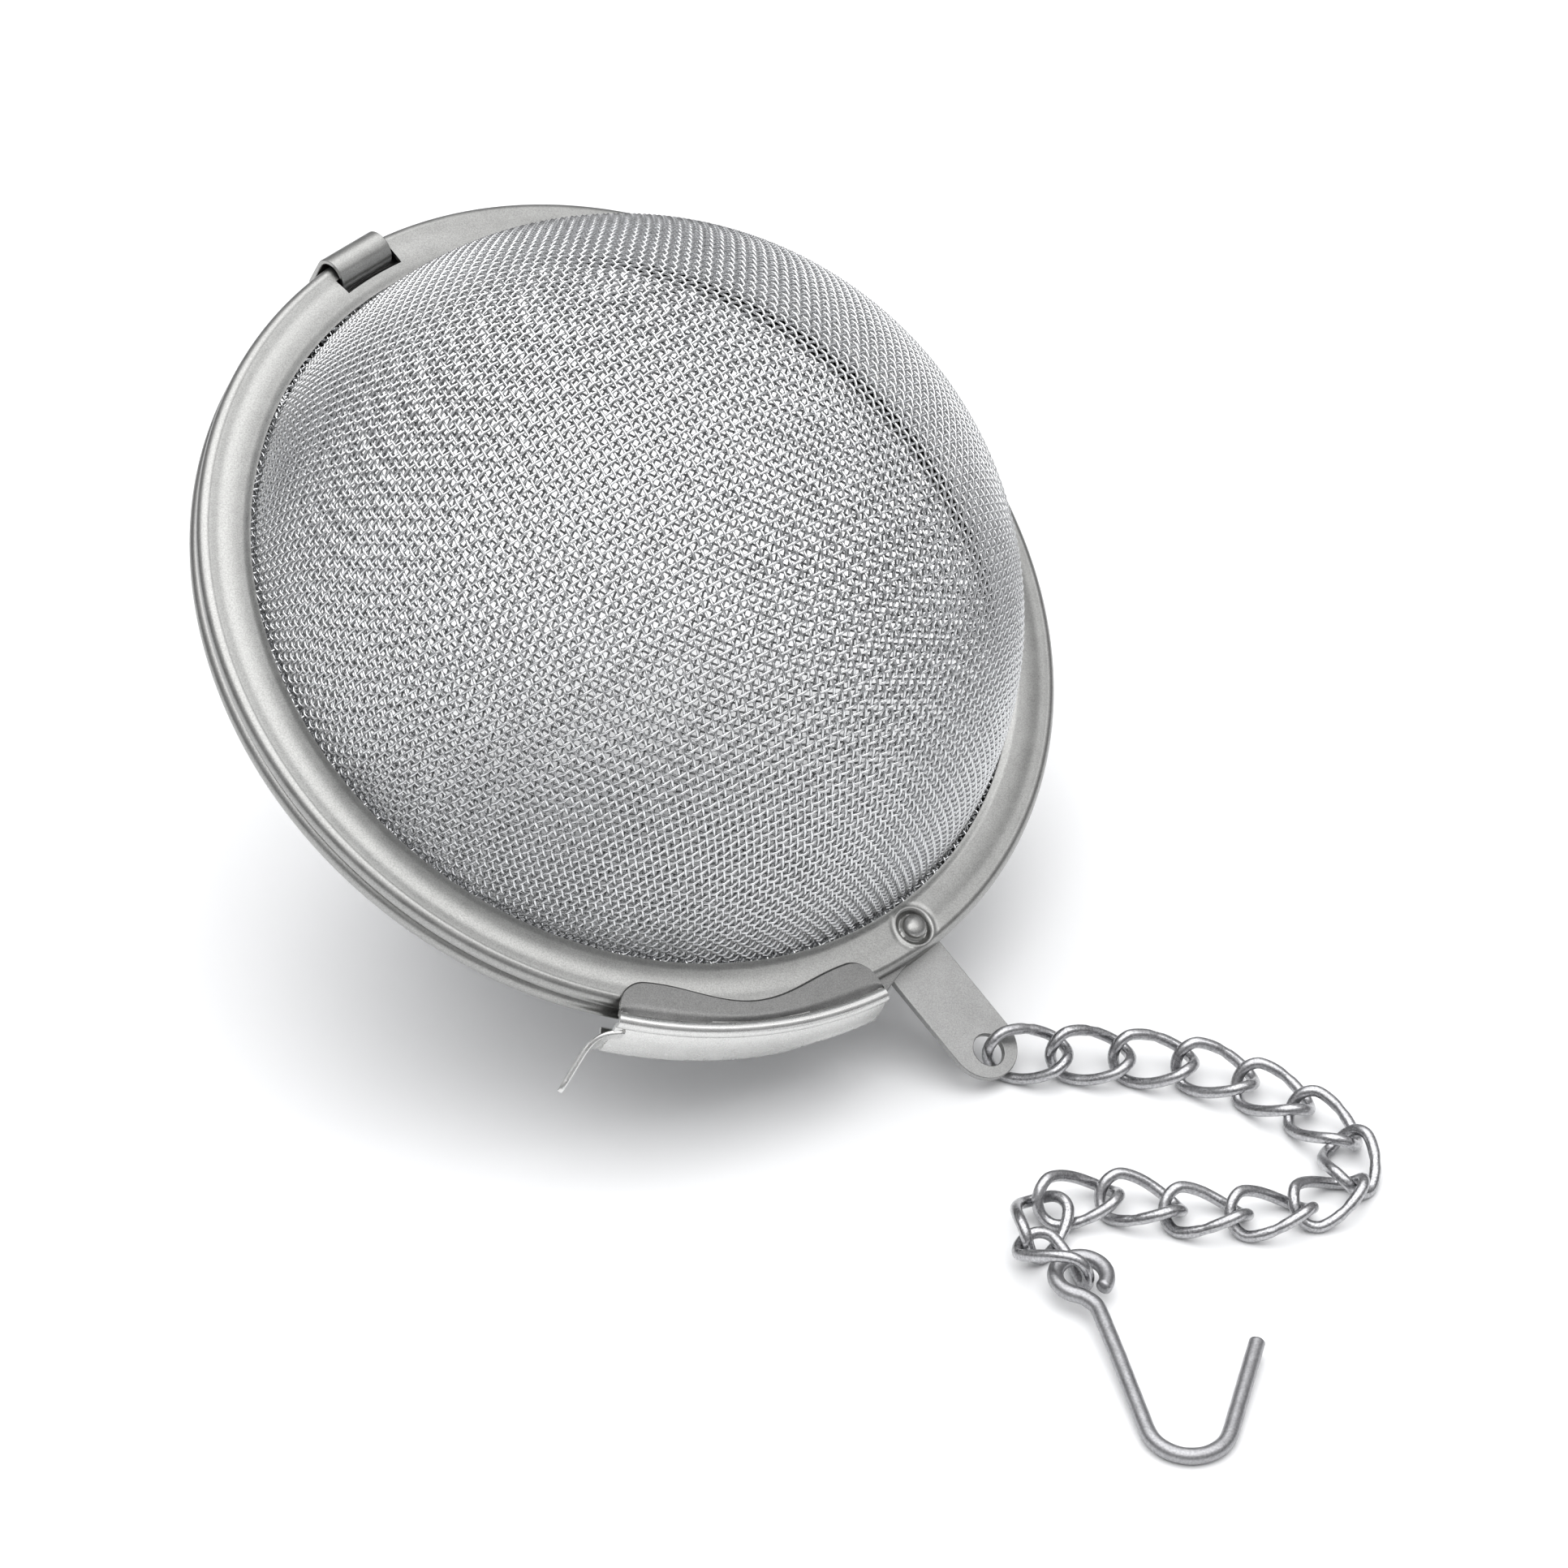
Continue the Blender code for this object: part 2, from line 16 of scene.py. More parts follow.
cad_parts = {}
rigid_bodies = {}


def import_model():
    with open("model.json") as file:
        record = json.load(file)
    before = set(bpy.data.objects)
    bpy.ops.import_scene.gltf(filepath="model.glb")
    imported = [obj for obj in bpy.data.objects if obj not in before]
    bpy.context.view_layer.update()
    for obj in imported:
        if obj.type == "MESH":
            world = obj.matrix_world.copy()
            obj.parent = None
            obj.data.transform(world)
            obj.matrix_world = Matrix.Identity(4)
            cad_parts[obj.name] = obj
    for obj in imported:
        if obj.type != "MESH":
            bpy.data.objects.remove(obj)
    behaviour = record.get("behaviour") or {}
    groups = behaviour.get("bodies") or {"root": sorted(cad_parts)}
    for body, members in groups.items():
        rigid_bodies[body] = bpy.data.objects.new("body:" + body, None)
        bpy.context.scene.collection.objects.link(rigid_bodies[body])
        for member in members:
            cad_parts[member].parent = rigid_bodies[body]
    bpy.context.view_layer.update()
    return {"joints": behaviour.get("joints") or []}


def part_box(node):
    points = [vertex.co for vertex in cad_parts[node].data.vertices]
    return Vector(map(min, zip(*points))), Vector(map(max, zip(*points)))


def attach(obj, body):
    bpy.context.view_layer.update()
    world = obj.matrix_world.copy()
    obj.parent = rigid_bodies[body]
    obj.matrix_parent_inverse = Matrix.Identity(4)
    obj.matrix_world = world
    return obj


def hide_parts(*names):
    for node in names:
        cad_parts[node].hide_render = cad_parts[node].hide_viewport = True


MM = 0.001
TAU = math.tau

# Camera, in millimetres and degrees
CAMERA_AT = (-0.086, -227.036, 186.074)
CAMERA_TILT = 53.97
CAMERA_LENS = 93.17

# Rims: one folded sheet each
RIM_BORE_R = 28.82
RIM_BEAD_AT = (31.8, 0.8)
RIM_BEAD_R = 0.7
RIM_TOP = 1.5
RIM_LEG_R = 30.45
SHEET = 0.3
EDGE_BEVEL = 0.07
FLANGE_POINTS = 38
FLANGE_SINK = 0.02
CROWN = (0.05, 30.1, 0.8)  # height, radius where it is highest, width
GROOVE = (0.025, 31.1, 0.4)  # depth, radius where it is deepest, width
BORE_DIP = 0.10
BORE_DIP_W = 0.6
RIM_LEG = ((31.4, 0.25), (31.0, 0.26), (RIM_LEG_R, 0.28))
RIM_STEP = 0.75
SEAT_SPAN = (-5.2, 4.41)  # degrees round the rim with fine steps, for the rivet's seat
SEAT_STEP = 0.2
RIM_SEAM = (4.9, 354.5)  # where the coarse steps start and end
HINGE_SLOT = (29.95, 31.2, 2.68)  # inner radius, outer radius, half width
HINGE_SLOT_MIDDLE_R = 30.5
HINGE_SLOT_STEPS = 14
HINGE_TURN = 1.8

# Woven domes
WIRE_R = 0.1
WEAVE_PITCH = 0.625
WEAVE_A = math.radians(75.5)
WEAVE_B = math.radians(173.5)
LOWER_WEAVE_TURN = math.radians(41)
DOME_R = 28.64
DOME_CENTRE = -2.83
DOME_EDGE_Z = 0.88
DOME_TAIL = 0.95
DOME_TAIL_BEND = 0.25
CLOTH_REACH = 46  # beyond the flat cloth's corner
WIRE_SIDES = 5
FEWEST_WIRE_POINTS = 4

# Rivets
RIVET_R = 30.7
LATCH_RIVET_TURN = -0.8
SEAT_EDGE = (1.45, 2.0)
SEAT_SINK = 0.08
SEAT_LIP = (0.10, 1.45, 0.22)  # height, radius, width
SEAT_DISH = (0.30, 1.04, 0.2)  # depth, radius, width
HEAD_R = 0.88
HEAD_TOP = 2.0
HEAD_HEIGHT = 0.62
HEAD_CROWN = 0.6  # share of the head's height that is domed
LATCH_PIN = ((0, 0.05), (0.98, 0.05), (0.98, 0.2), (0.5, 0.22), (0.5, 1.5))
TAB_PIN = ((0, 0.95), (0.74, 0.95), (0.74, 1.1), (0.5, 1.12), (0.5, 2.15))
TAB_HEAD_TOP = 2.62
TAB_HEAD_R = 0.85
TAB_HEAD_HEIGHT = 0.47
RIVET_SIDES = 48

# Hinge strap
STRAP_AXIS = (31.8, 0.8)
STRAP_W = 4.9
STRAP_T = 0.35
STRAP_BEND_R = 1.0
STRAP_FOOT = (29.6, -1.65)
STRAP_CURL = 198
STRAP_OUTER_CORNER = 0.6
STRAP_INNER_CORNER = 0.25

# Latch
LATCH_NEAR = -10.4
LATCH_FAR = -45.3
LATCH_T = 0.34
LATCH_STEPS = 110
LATCH_FOLD_R = 33.3
LATCH_FOLD_Z = 1.3
LATCH_TOP = (31.45, 1.84)
LATCH_WAVE = (0.55, 14.1, 26.7)  # height, angle of a dip, length in degrees
LATCH_CORNER = (1.4, 3.0)  # height, width in degrees
LATCH_BEAD_AT = (33.78, 1.58)
LATCH_BEAD_R = 0.38
LATCH_BEAD_START = (33.38, 0.16)  # radius, fall from the top edge's height
LATCH_WALL = ((34.02, 1.22), (34.12, 1.0), (34.3, 0.4), (34.38, -0.3), (34.44, -0.9))
LATCH_FOOT_R = 34.5
LATCH_FOOT_CORNER = 0.25
LATCH_LOW = -1.33
LIP_ANGLES = (18, 24)
LIP_DROP = 0.65
LIP_R = 32.95
LIP_START = 0.3
ARM_R = 34.1
ARM_EAR_R = 1.6
ARM_ANGLES = (-17, -14, -11)
ARM_HEIGHTS = (0.25, 0.55)
ARM_BEVEL = 0.05
TONGUE_R = 34.33
TONGUE_LAP = 1.2
TONGUE_STEPS = 36
TONGUE_BEND_END = 0.55
TONGUE_POINT = 0.88  # share of the length where the tip starts to close
TONGUE_LENGTH = 5.3
TONGUE_CURL = math.radians(68)
TONGUE_TOP = 1.25
TONGUE_FALL = 3.3
TONGUE_LOW = -1.85
TONGUE_DROOP = 0.9

# Chain tab
TAB_W = 5.3
TAB_T = 0.5
TAB_TOP = -1.65
TAB_INNER_R = 29.4
TAB_TIP_R = 42.7
TAB_HOLE_R = 1.2
TAB_HOLE_AT = 40.6
TAB_SHOULDER_R = 33.5

# Chain and hook
CHAIN_WIRE_R = 0.41
CHAIN_WIRE_SIDES = 14
LINK_PITCH = 4.45
LINK_HALF_LENGTH = 2.85
LINK_HALF_WIDTH = 1.8
LINK_TWIST = math.radians(-48)
LINK_STRAIGHT = 2.5  # how fast the link's long sides run to its ends
LINK_POINTS = 96
LINK_SOFTENING = 3
BUTT_JOINT = (0.16, 0.05)  # share of the radius, width in radians
LINK_ROLLS = (42, 35, 28, 20, 12, 5, 0, 0, 0, 0, -5, -15, -25, -38)
HOOK_WIRE_R = 0.55
HOOK_WIRE_SIDES = 20
EYE_R = 1.75
EYE_HEIGHT = 1.66
EYE_ANGLES = (34, 345)
EYE_NECK = 1.0
HOOK_REACH = 13.8
SHANK_OFFSET = 0.35
HOOK_BEND_R = 2.75
HOOK_BEND = math.radians(150)
HOOK_TIP = 8.4
HOOK_HEADING = math.radians(-77)
HOOK_SPACING = 0.12
HOOK_SOFTENING = 14
CUT_START = (0.55, 0.85)  # shares of the wire's radius at its first points
CUT_END = (0.45, 0.72)  # and at its last, counted from the end
DRAWN_RIPPLE = (0.01, 140)  # share of the radius, radians along the wire

# Steel
STAINS = 0.12  # strength of the cloudy stains over the grain
STAIN_SIZE = 14  # in grains
NOISE_SPAN = (0.3, 0.7)

# Studio, in metres and watts
FLOOR_SIZE = 3.0
SKY = ((0.0, (0.10, 0.10, 0.105, 1)), (0.6, (0.42, 0.42, 0.425, 1)), (0.92, (0.95, 0.95, 0.96, 1)))
SKY_STRENGTH = 1.45
AIM = (0, 0, 0.02)


# --- geometry helpers -------------------------------------------------------------------------------


def ball_matrix(frame):
    """Ball coordinates in millimetres to the frame, in metres, from the joints' axes and the domes' box."""
    joints = {joint["name"]: joint for joint in frame["joints"]}
    up = Vector(joints["latch_pivot"]["axis"]).normalized()
    side = -Vector(joints["lid_hinge"]["axis"]).normalized()
    front = side.cross(up).normalized()
    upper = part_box("upper_mesh_dome")
    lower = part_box("lower_mesh_dome")
    lowest = [min(upper[0][i], lower[0][i]) for i in range(3)]
    highest = [max(upper[1][i], lower[1][i]) for i in range(3)]
    centre = (Vector(lowest) + Vector(highest)) / 2
    turn = Matrix((front, up.cross(front), up)).transposed().to_4x4()
    turn = turn @ Matrix.Rotation(math.radians(-HINGE_TURN), 4, "Z")
    return Matrix.Translation(centre) @ turn @ Matrix.Scale(MM, 4)


def placed(points, matrix):
    """Points as an array, moved by a matrix."""
    points = np.asarray(points, float)
    turn = np.array(matrix.to_3x3())
    return points @ turn.T + np.array(matrix.translation)


def piece(name, points, faces, material, body, nodes, matrix, sharp=40):
    """A finished mesh piece that rides on a body and stands for CAD nodes."""
    mesh = bpy.data.meshes.new(name)
    if isinstance(faces, np.ndarray):
        faces = faces.tolist()
    mesh.from_pydata(placed(points, matrix).tolist(), [], faces)
    mesh.materials.append(material)
    mesh.shade_smooth()
    if sharp:
        mesh.set_sharp_from_angle(angle=math.radians(sharp))
    obj = bpy.data.objects.new(name, mesh)
    bpy.context.scene.collection.objects.link(obj)
    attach(obj, body)
    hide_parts(*nodes)
    return obj


def sheet_piece(name, points, faces, material, body, node, matrix, sharp=40):
    """A piece of stainless sheet that stands for one CAD node."""
    return piece(name, points, faces, material, body, [node], matrix, sharp)


def outward(obj):
    """Turns the faces of a closed piece outwards."""
    shape = bmesh.new()
    shape.from_mesh(obj.data)
    bmesh.ops.recalc_face_normals(shape, faces=shape.faces)
    shape.to_mesh(obj.data)
    shape.free()
    return obj


def rounded(obj, width, segments=2, angle=35):
    """A bevel on the piece's sharp edges; width is in millimetres."""
    bevel = obj.modifiers.new("edges", "BEVEL")
    bevel.width = width * MM
    bevel.segments = segments
    bevel.limit_method = "ANGLE"
    bevel.angle_limit = math.radians(angle)
    return obj


def lofted(sections, ring=False, capped=True):
    """Points and faces of equal closed outlines in a row."""
    sections = np.asarray(sections, float)
    rows, count = sections.shape[:2]
    last = rows if ring else rows - 1
    i, k = np.meshgrid(np.arange(last), np.arange(count), indexing="ij")
    here = i * count
    there = (i + 1) % rows * count
    after = (k + 1) % count
    faces = np.stack([here + k, here + after, there + after, there + k], -1).reshape(-1, 4).tolist()
    if capped and not ring:
        faces.append(list(range(count))[::-1])
        faces.append(list(range((rows - 1) * count, rows * count)))
    return sections.reshape(-1, 3), faces


def tube(path, radius, sides, ring=False, normal=(0, 0, 1)):
    """A round wire along a path; the radius may differ from point to point."""
    path = np.asarray(path, float)
    radius = np.broadcast_to(np.asarray(radius, float), len(path))
    if ring:
        ahead = np.roll(path, -1, 0) - np.roll(path, 1, 0)
    else:
        ahead = np.gradient(path, axis=0)
    ahead /= np.linalg.norm(ahead, axis=1)[:, None]
    across = np.zeros_like(path)
    last = np.asarray(normal, float)
    for i, direction in enumerate(ahead):
        last = last - direction * (last @ direction)
        last /= np.linalg.norm(last)
        across[i] = last
    third = np.cross(ahead, across)
    turns = TAU * np.arange(sides) / sides
    if ring:
        # The frame that comes back to the start is spread evenly over the ring.
        slip = math.atan2(across[0] @ third[-1], across[0] @ across[-1])
        turns = turns[None] + slip * (np.arange(len(path)) / len(path))[:, None]
    else:
        turns = np.broadcast_to(turns, (len(path), sides))
    rings = np.cos(turns)[..., None] * across[:, None] + np.sin(turns)[..., None] * third[:, None]
    return lofted(path[:, None] + rings * radius[:, None, None], ring)


def arc(centre, radius, start, end, steps):
    """Points of an arc in a plane, angles in degrees."""
    angles = np.radians(np.linspace(start, end, steps + 1))
    return [(centre[0] + radius * math.cos(a), centre[1] + radius * math.sin(a)) for a in angles]


def raised(values, swell):
    """A smooth swell, given as its height, its middle and its width."""
    height, middle, width = swell
    return height * np.exp(-(((values - middle) / width) ** 2))


def eased(values, start, end):
    share = np.clip((values - start) / (end - start), 0, 1)
    return share * share * (3 - 2 * share)


def nearest(values, wanted):
    """The index of the value nearest to the wanted one."""
    return int(np.argmin(abs(values - wanted)))


def resampled(path, spacing):
    """Evenly spaced points on a path."""
    path = np.asarray(path, float)
    run = np.concatenate([[0], np.cumsum(np.linalg.norm(np.diff(path, axis=0), axis=1))])
    at = np.linspace(0, run[-1], max(int(run[-1] / spacing), 2) + 1)
    return np.stack([np.interp(at, run, path[:, axis]) for axis in range(path.shape[1])], 1)


def softened(path, rounds):
    """A path with its corners eased, its ends kept."""
    path = np.array(path, float)
    for _ in range(rounds):
        path[1:-1] = (path[:-2] + 2 * path[1:-1] + path[2:]) / 4
    return path


# --- materials --------------------------------------------------------------------------------------


def metal(name, dark, light, rough, grain, depth):
    """Steel: its colour runs from dark to light in a fine grain, with uneven gloss and a faint relief.

    rough is (lowest, highest); grain is the size of the grain and depth the height of the relief, in
    millimetres.
    """
    material = bpy.data.materials.new(name)
    material.use_nodes = True
    nodes = material.node_tree.nodes
    links = material.node_tree.links
    shader = nodes["Principled BSDF"]
    shader.inputs["Metallic"].default_value = 1.0
    place = nodes.new("ShaderNodeTexCoord")

    def noise(size, detail):
        node = nodes.new("ShaderNodeTexNoise")
        node.inputs["Scale"].default_value = 1 / (size * MM)
        node.inputs["Detail"].default_value = detail
        node.inputs["Roughness"].default_value = 0.6
        links.new(place.outputs["Object"], node.inputs["Vector"])
        return node.outputs["Fac"]

    def mapped(value, to_low, to_high):
        node = nodes.new("ShaderNodeMapRange")
        node.inputs["From Min"].default_value = NOISE_SPAN[0]
        node.inputs["From Max"].default_value = NOISE_SPAN[1]
        node.inputs["To Min"].default_value = to_low
        node.inputs["To Max"].default_value = to_high
        links.new(value, node.inputs["Value"])
        return node.outputs["Result"]

    fine = noise(grain, 3)
    broad = noise(grain * STAIN_SIZE, 4)
    shade = nodes.new("ShaderNodeMath")
    shade.operation = "MULTIPLY_ADD"
    links.new(mapped(broad, -1, 1), shade.inputs[0])
    shade.inputs[1].default_value = STAINS
    links.new(mapped(fine, 0, 1), shade.inputs[2])
    colour = nodes.new("ShaderNodeMix")
    colour.data_type = "RGBA"
    colour.inputs["A"].default_value = (*dark, 1)
    colour.inputs["B"].default_value = (*light, 1)
    links.new(shade.outputs["Value"], colour.inputs["Factor"])
    links.new(colour.outputs["Result"], shader.inputs["Base Color"])
    links.new(mapped(broad, *rough), shader.inputs["Roughness"])
    relief = nodes.new("ShaderNodeBump")
    relief.inputs["Strength"].default_value = 1.0
    relief.inputs["Distance"].default_value = depth * MM
    links.new(fine, relief.inputs["Height"])
    links.new(relief.outputs["Normal"], shader.inputs["Normal"])
    return material


def make_materials():
    """All the steels: (dark and light colour), (lowest and highest roughness), grain, relief."""
    steels = {
        "rim": ("rolled_steel", (0.28, 0.28, 0.272), (0.43, 0.43, 0.42), (0.30, 0.38), 0.10, 0.004),
        # inside: the rim steel made darker, painted shade for the rims' inner and under faces
        "inside": ("rim_inside_painted_shade_steel", (0.14, 0.14, 0.137), (0.24, 0.24, 0.235), (0.36, 0.46), 0.12, 0.004),
        # latch and wall: one steel in a darker and a lighter copy, painted shade on the clip's top and arm,
        # painted light on its wall and tongue
        "latch": ("latch_top_painted_shade_steel", (0.16, 0.16, 0.158), (0.26, 0.26, 0.255), (0.30, 0.38), 0.09, 0.004),
        "wall": ("latch_wall_steel", (0.56, 0.56, 0.55), (0.74, 0.74, 0.725), (0.24, 0.32), 0.09, 0.003),
        "tab": ("tab_steel", (0.30, 0.30, 0.295), (0.44, 0.44, 0.435), (0.28, 0.38), 0.09, 0.004),
        "mesh": ("woven_steel", (0.56, 0.565, 0.57), (0.84, 0.85, 0.86), (0.16, 0.26), 0.3, 0.002),
        # painted_shade_mesh: the woven steel made darker for the lower dome, painted shade where it is seen
        # through the upper one
        "painted_shade_mesh": ("far_woven_painted_shade_steel", (0.26, 0.265, 0.27), (0.42, 0.425, 0.43), (0.20, 0.30), 0.3, 0.002),
        "chain": ("chain_steel", (0.28, 0.28, 0.29), (0.56, 0.56, 0.57), (0.20, 0.34), 0.16, 0.006),
        "hook": ("hook_steel", (0.28, 0.28, 0.29), (0.44, 0.44, 0.45), (0.34, 0.46), 0.15, 0.006),
    }
    return {key: metal(*steel) for key, steel in steels.items()}


# --- rims -------------------------------------------------------------------------------------------


def rim_middle():
    """The middle line of the rim's sheet: inner edge, gently crowned flange, bead, leg."""
    radii = np.linspace(RIM_BORE_R, RIM_BEAD_AT[0], FLANGE_POINTS)
    level = RIM_TOP - SHEET / 2 - FLANGE_SINK
    heights = level + raised(radii, CROWN) - raised(radii, GROOVE)
    heights -= BORE_DIP * (1 - eased(radii, RIM_BORE_R, RIM_BORE_R + BORE_DIP_W))
    flange = list(zip(radii, heights))
    bead = arc(RIM_BEAD_AT, RIM_BEAD_R - SHEET / 2, 90, -90, 22)[1:]
    return np.array(flange + bead + list(RIM_LEG))


def offset_lines(middle, thickness):
    """The two faces of a sheet with this middle line."""
    along = np.gradient(middle, axis=0)
    along /= np.linalg.norm(along, axis=1)[:, None]
    normal = np.stack([-along[:, 1], along[:, 0]], 1) * thickness / 2
    return middle + normal, middle - normal


def rim_angles():
    """Angles round the rim in degrees, finer at the rivet and at the hinge slot, and the slot's ends."""
    half = math.degrees(math.asin(HINGE_SLOT[2] / HINGE_SLOT_MIDDLE_R))
    start = 180 + HINGE_TURN - half
    end = 180 + HINGE_TURN + half
    seat = np.arange(*SEAT_SPAN, SEAT_STEP)
    before = np.arange(RIM_SEAM[0], start, RIM_STEP)
    slot = np.linspace(start, end, HINGE_SLOT_STEPS)
    behind = np.arange(end + RIM_STEP, RIM_SEAM[1], RIM_STEP)
    return np.concatenate([seat, before, slot, behind]), start, end


def seated(x, y, height, face, on_flange):
    """The flange's height with the dished seat of the latch rivet in it."""
    turn = math.radians(LATCH_RIVET_TURN)
    far = np.hypot(x - RIVET_R * math.cos(turn), y - RIVET_R * math.sin(turn))
    seat = 1 - eased(far, *SEAT_EDGE)
    dish = RIM_TOP - SEAT_SINK + raised(far, SEAT_LIP) - raised(far, SEAT_DISH) + face
    return np.where(on_flange, height * (1 - seat) + dish * seat, height)


def rim_faces(rows, count, slot_rows, cut_from, cut_to):
    """The rim's faces, all but those in the slot's rows between its two cuts."""
    faces = []
    for i in range(rows):
        there = (i + 1) % rows
        for k in range(count):
            open_here = cut_from <= k < cut_to or count - 1 - cut_to <= k < count - 1 - cut_from
            if i in slot_rows and open_here:
                continue
            after = (k + 1) % count
            faces.append((i * count + k, there * count + k, there * count + after, i * count + after))
    return faces


def rim_piece(name, node, body, material, inside, ball, upper):
    """A rim; the upper one has a dished seat at its rivet and a slot for the hinge strap. The sheet's inner
    face takes a darker steel as painted shade.
    """
    middle = rim_middle()
    outer, inner = offset_lines(middle, SHEET)
    loop = np.concatenate([outer, inner[::-1]])
    degrees, slot_start, slot_end = rim_angles()
    angles = np.radians(degrees)[:, None]
    x = loop[:, 0] * np.cos(angles)
    y = loop[:, 0] * np.sin(angles)
    height = np.broadcast_to(loop[:, 1], x.shape)
    if upper:
        face = np.where(np.arange(len(loop)) < len(middle), 0.0, -SHEET)
        height = seated(x, y, height, face, loop[:, 1] > 1.0)
    points = np.stack([x, y, height * (1 if upper else -1)], -1)
    rows, count = x.shape
    flange = outer[:FLANGE_POINTS, 0]
    cut_from = nearest(flange, HINGE_SLOT[0])
    cut_to = nearest(flange, HINGE_SLOT[1])
    slot_rows = range(nearest(degrees, slot_start), nearest(degrees, slot_end))
    faces = rim_faces(rows, count, slot_rows if upper else (), cut_from, cut_to)
    if upper:
        faces += slot_walls(slot_rows, cut_from, cut_to, count)
    obj = sheet_piece(name, points.reshape(-1, 3), faces, material, body, node, ball, 50)
    obj.data.materials.append(inside)
    # Faces on the sheet's inner side take the darker steel: painted shade under and inside the fold.
    for face, (first, _, third, _) in zip(obj.data.polygons, faces):
        painted_shade_face = min(first % count, third % count) >= len(middle)
        face.material_index = int(painted_shade_face)
    return outward(obj)


def slot_walls(slot_rows, cut_from, cut_to, count):
    """The cut edges of the hinge slot, between the sheet's two faces."""
    walls = []
    for i in slot_rows:
        for k in (cut_from, cut_to):
            here = i * count + k
            there = (i + 1) * count - 1 - k
            walls.append((here, here + count, there + count, there))
    for i in (slot_rows.start, slot_rows.stop):
        for k in range(cut_from, cut_to):
            here = i * count + k
            there = (i + 1) * count - 1 - k
            walls.append((here, here + 1, there - 1, there))
    return walls


# --- woven domes ------------------------------------------------------------------------------------


def on_dome(flat, height):
    """Points of the flat cloth put on the dome and lifted along its normal, and that normal."""
    run = np.hypot(flat[..., 0], flat[..., 1])
    turn = np.arctan2(flat[..., 1], flat[..., 0])
    edge_angle = math.acos((DOME_EDGE_Z - DOME_CENTRE) / DOME_R)
    angle = np.minimum(run / DOME_R, edge_angle)
    tail = np.maximum(run - DOME_R * edge_angle, 0)
    lean = angle * (1 - eased(tail, 0, DOME_TAIL_BEND))
    radius = DOME_R * np.sin(angle) + tail + height * np.sin(lean)
    z = DOME_CENTRE + DOME_R * np.cos(angle) + height * np.cos(lean)
    normal = np.stack([np.sin(lean) * np.cos(turn), np.sin(lean) * np.sin(turn), np.cos(lean)], -1)
    return np.stack([radius * np.cos(turn), radius * np.sin(turn), z], -1), normal


def wandering(flat, phase):
    """A slow drift of the cloth's wires, as pressing the dome leaves it."""
    x = flat[..., 0]
    y = flat[..., 1]
    drift_x = 0.10 * np.sin(y / 5.1 + phase) + 0.05 * np.sin((x + y) / 2.3 + 2 * phase)
    drift_y = 0.10 * np.sin(x / 4.3 + 1.7 * phase) + 0.05 * np.sin((x - y) / 2.9 + phase)
    return flat + np.stack([drift_x, drift_y], -1)


def woven(across, other, parity, wires, phase):
    """Points and faces of the wires of one direction: over and under the other direction's wires."""
    reach = DOME_R * math.acos((DOME_EDGE_Z - DOME_CENTRE) / DOME_R) + DOME_TAIL
    step = np.array([[math.cos(across), math.sin(across)], [math.cos(other), math.sin(other)]])
    basis = np.linalg.inv(step) * WEAVE_PITCH
    sides = WIRE_SIDES
    turns = TAU * np.arange(sides) / sides
    all_points = []
    all_faces = []
    total = 0
    # Two points for each crossing, on a run that is a fifth longer than the cloth is wide.
    most = int(reach / WEAVE_PITCH * 1.2) * 2
    for i in wires:
        t = np.arange(-most, most + 1) / 2
        flat = np.outer(np.full(len(t), i), basis[:, 0]) + np.outer(t, basis[:, 1])
        inside = np.hypot(flat[:, 0], flat[:, 1]) < reach
        if inside.sum() < FEWEST_WIRE_POINTS:
            continue
        t = t[inside]
        flat = wandering(flat[inside], phase)
        wave = parity * (-1) ** (i % 2) * np.cos(math.pi * t) * WIRE_R
        centre, normal = on_dome(flat, wave)
        ahead = np.gradient(centre, axis=0)
        ahead /= np.linalg.norm(ahead, axis=1)[:, None]
        side = np.cross(normal, ahead)
        side /= np.linalg.norm(side, axis=1)[:, None]
        up = np.cross(ahead, side)
        rings = np.cos(turns)[None, :, None] * up[:, None] + np.sin(turns)[None, :, None] * side[:, None]
        points = (centre[:, None] + rings * WIRE_R).reshape(-1, 3)
        m, k = np.meshgrid(np.arange(len(t) - 1), np.arange(sides), indexing="ij")
        here = m * sides + total
        after = (k + 1) % sides
        quads = np.stack([here + k, here + after, here + sides + after, here + sides + k], -1)
        all_points.append(points)
        all_faces.append(quads.reshape(-1, 4))
        total += len(points)
    return np.concatenate(all_points), np.concatenate(all_faces)


def make_domes(ball, near, far):
    """Both domes, each in warp and weft, and each of those in two halves; the lower, far dome takes a
    darker copy of the woven steel as painted shade.
    """
    most = int(CLOTH_REACH / WEAVE_PITCH)
    halves = {"a": range(-most, 0), "b": range(0, most + 1)}
    flip = Matrix.Scale(-1, 4, (0, 0, 1))
    directions = (("warp", WEAVE_A, WEAVE_B, 1), ("weft", WEAVE_B, WEAVE_A, -1))
    for part, body, matrix, phase, turn, material in (
        ("upper", "lid", ball, 0.0, 0.0, near),
        ("lower", "base", ball @ flip, 2.1, LOWER_WEAVE_TURN, far),
    ):
        for direction, across, other, parity in directions:
            for half, wires in halves.items():
                points, faces = woven(across + turn, other + turn, parity, wires, phase)
                if part == "lower":
                    faces = faces[:, ::-1]
                name = f"{part}_mesh_{direction}_{half}"
                node = f"{part}_mesh_dome"
                piece(name, points, faces, material, body, [node], matrix, 0)


# --- hinge strap, rivets and chain tab --------------------------------------------------------------


